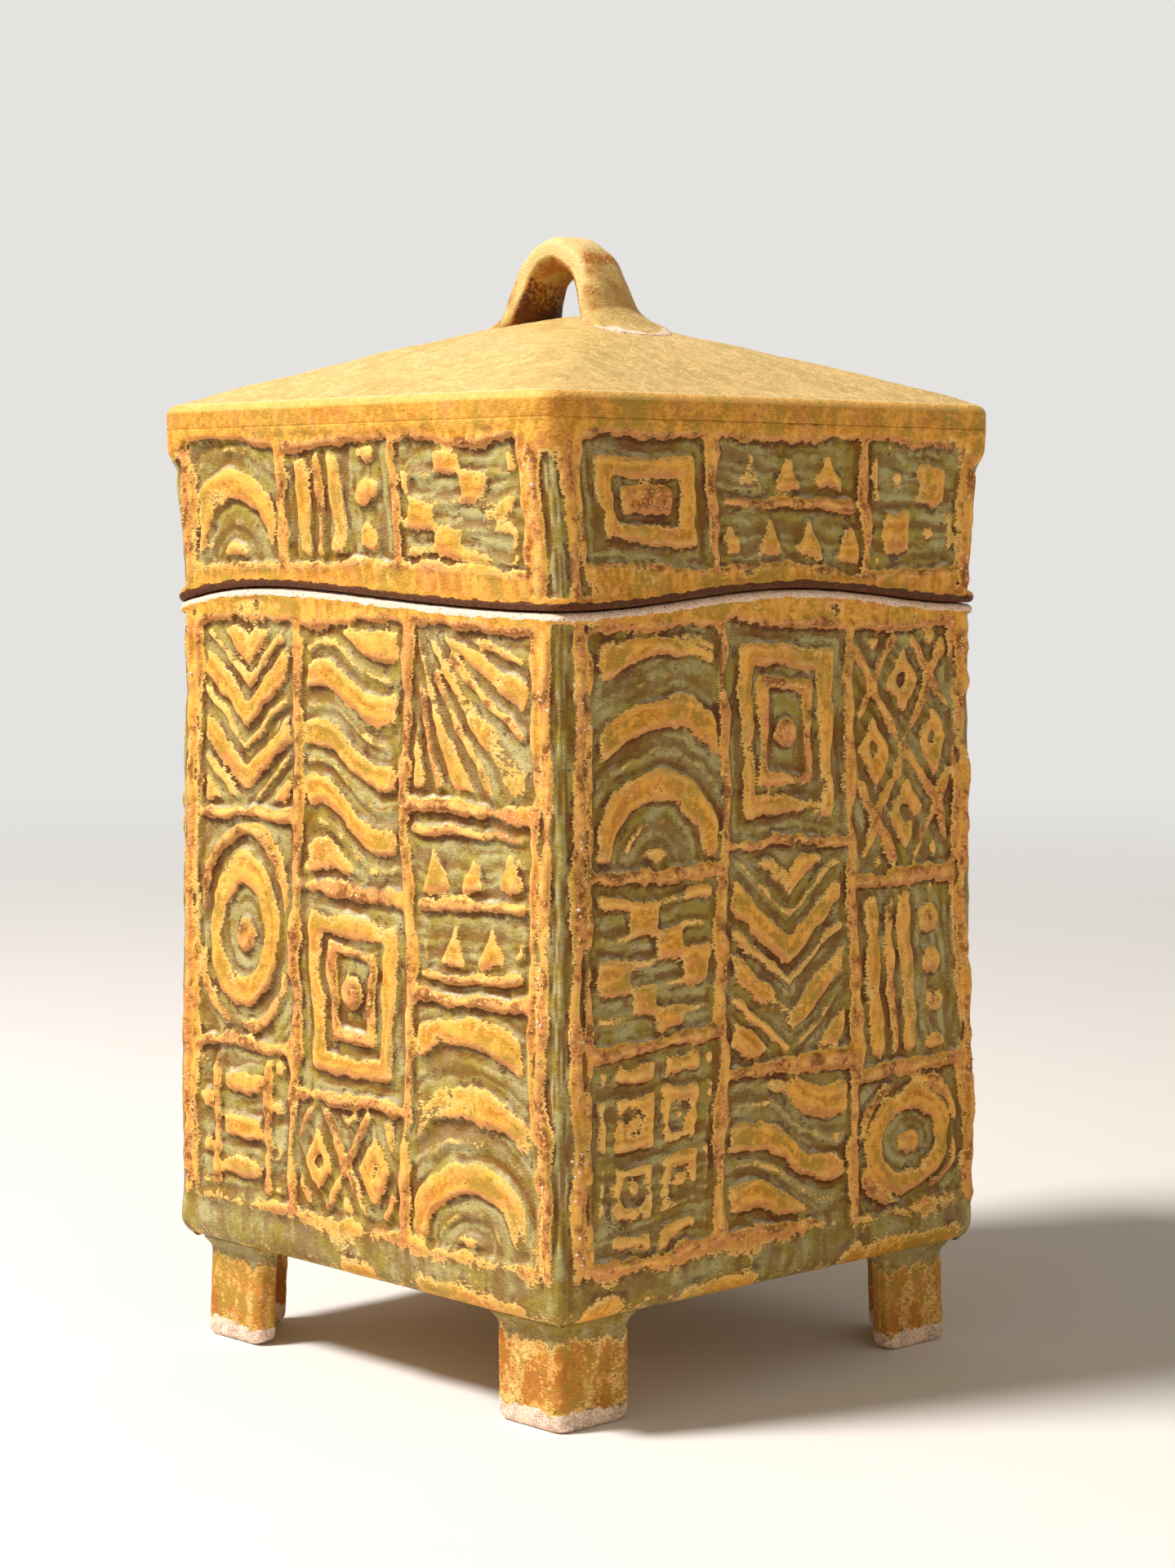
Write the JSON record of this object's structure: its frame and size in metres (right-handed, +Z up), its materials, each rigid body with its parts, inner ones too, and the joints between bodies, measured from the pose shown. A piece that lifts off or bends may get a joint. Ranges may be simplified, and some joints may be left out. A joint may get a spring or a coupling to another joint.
{
  "type": "ceramic lidded box",
  "caption": "Square slab-built ceramic box on bracket feet, with a wavy-cut lift-off lid, a shallow pyramid roof and a pulled handle.",
  "frame": {"origin": "on the table under the middle of the box", "axes": "+Z up, along the longest extent; the walls face the X and Y axes, front towards -Y, and the handle arches along X"},
  "size_m": [0.122, 0.122, 0.2289],
  "materials": {
    "ochre_glaze": "satin ochre glaze, olive green where it pools and brown where it breaks on edges",
    "straw_glaze": "satin straw-coloured glaze with fine specks",
    "liner_glaze": "thin satin ochre glaze"
  },
  "bodies": {
    "box": {"floor_slab": "ochre_glaze", "wall_front": "ochre_glaze", "floor_coil_front": "liner_glaze", "wall_right": "ochre_glaze", "floor_coil_right": "liner_glaze", "wall_back": "ochre_glaze", "floor_coil_back": "liner_glaze", "wall_left": "ochre_glaze", "floor_coil_left": "liner_glaze", "foot_front_right": "ochre_glaze", "corner_coil_front_right": "liner_glaze", "foot_back_right": "ochre_glaze", "corner_coil_back_right": "liner_glaze", "foot_back_left": "ochre_glaze", "corner_coil_back_left": "liner_glaze", "foot_front_left": "ochre_glaze", "corner_coil_front_left": "liner_glaze"},
    "lid": {"lid_roof": "straw_glaze", "handle": "straw_glaze", "lid_wall_front": "ochre_glaze", "lid_wall_right": "ochre_glaze", "lid_wall_back": "ochre_glaze", "lid_wall_left": "ochre_glaze", "lid_coil_front_right": "liner_glaze", "lid_coil_back_right": "liner_glaze", "lid_coil_back_left": "liner_glaze", "lid_coil_front_left": "liner_glaze"}
  },
  "joints": [
    {"name": "lid_lift", "type": "slide", "parent": "box", "child": "lid", "axis": [0, 0, 1], "range_m": [0, 0.12]}
  ]
}
